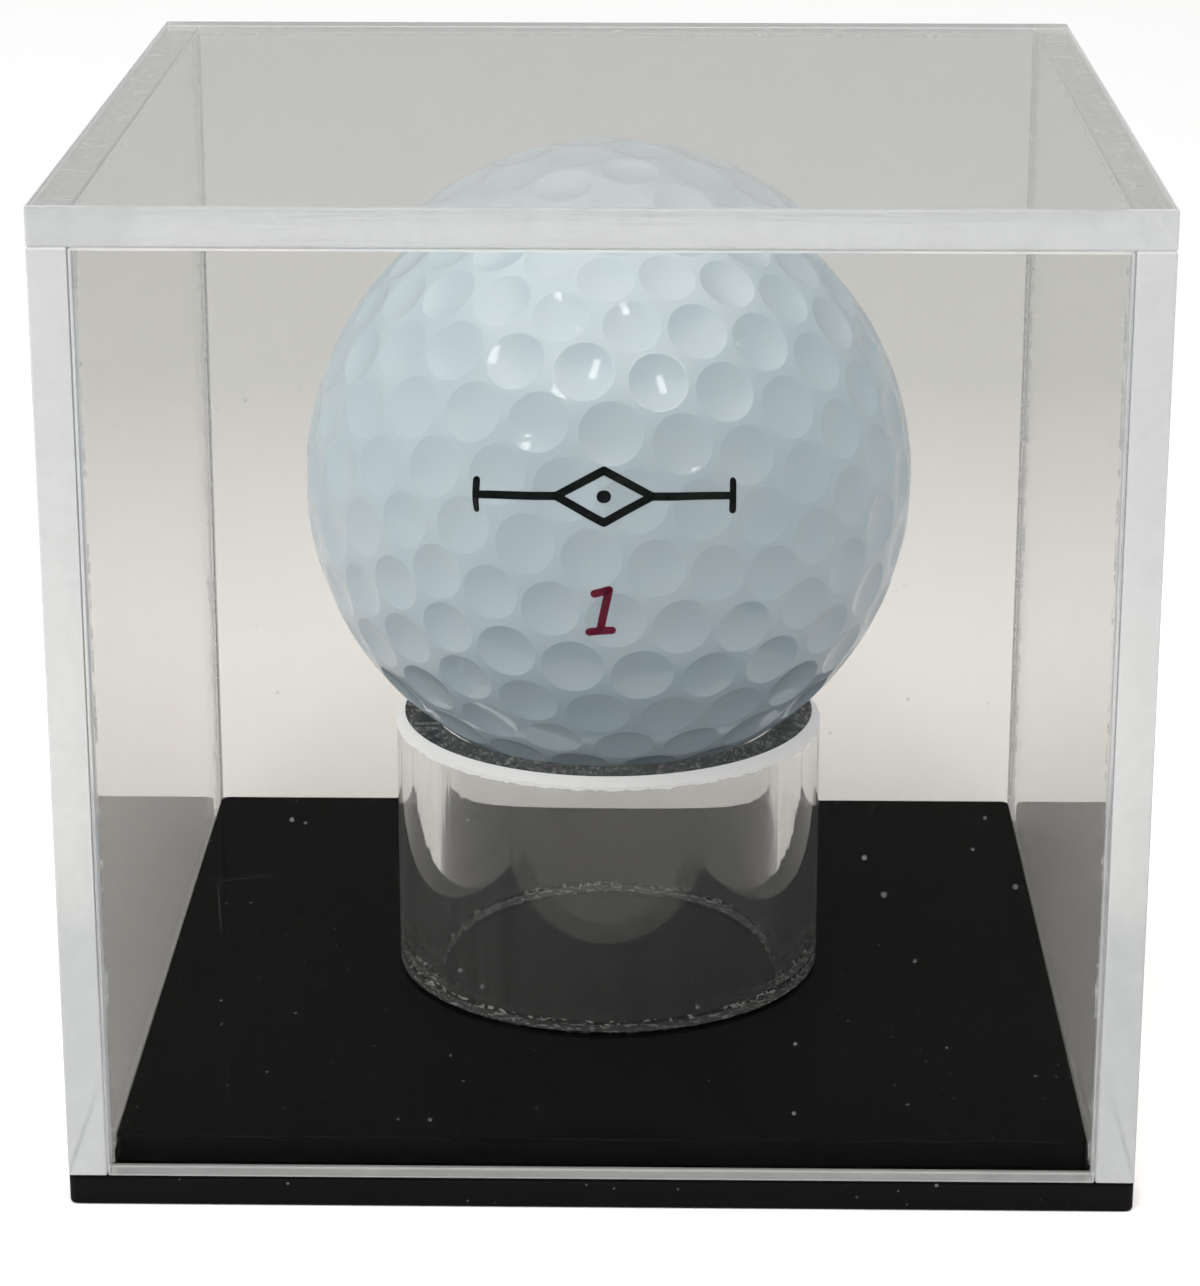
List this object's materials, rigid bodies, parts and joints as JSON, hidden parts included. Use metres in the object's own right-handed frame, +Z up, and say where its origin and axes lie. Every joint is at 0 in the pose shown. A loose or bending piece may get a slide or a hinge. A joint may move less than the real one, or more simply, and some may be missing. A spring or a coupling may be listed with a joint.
{
  "type": "golf ball display case",
  "caption": "Clear acrylic box cover that lifts off a stepped black base, with a clear ring riser holding a golf ball.",
  "frame": {"origin": "centre of the base plate's underside", "axes": "+Z up through the top panel, +X to the right seen from the front, front towards -Y"},
  "size_m": [0.0698, 0.0698, 0.0667],
  "materials": {
    "clear_sheet": "polished clear acrylic sheet",
    "clear_tube": "clear acrylic tube with saw-cut ends",
    "black_sheet": "polished black acrylic sheet",
    "ball_skin": "glossy clear-coated white urethane",
    "ball_casing": "matt ionomer",
    "ball_rubber": "matt solid rubber"
  },
  "bodies": {
    "base": {"base_plate": "black_sheet", "locating_plate": "black_sheet", "riser_tube": "clear_tube"},
    "cover": {"top_panel": "clear_sheet", "front_panel": "clear_sheet", "back_panel": "clear_sheet", "left_panel": "clear_sheet", "right_panel": "clear_sheet"},
    "ball": {"ball_cover": "ball_skin", "ball_mantle": "ball_casing", "ball_core": "ball_rubber"}
  },
  "joints": [
    {"name": "cover_lift", "type": "slide", "parent": "base", "child": "cover", "axis": [0, 0, 1], "range_m": [0, 0.065]},
    {"name": "ball_turn", "type": "hinge", "parent": "base", "child": "ball", "pos_m": [0, 0, 0.0404], "axis": [0, 0, 1], "continuous": true}
  ]
}
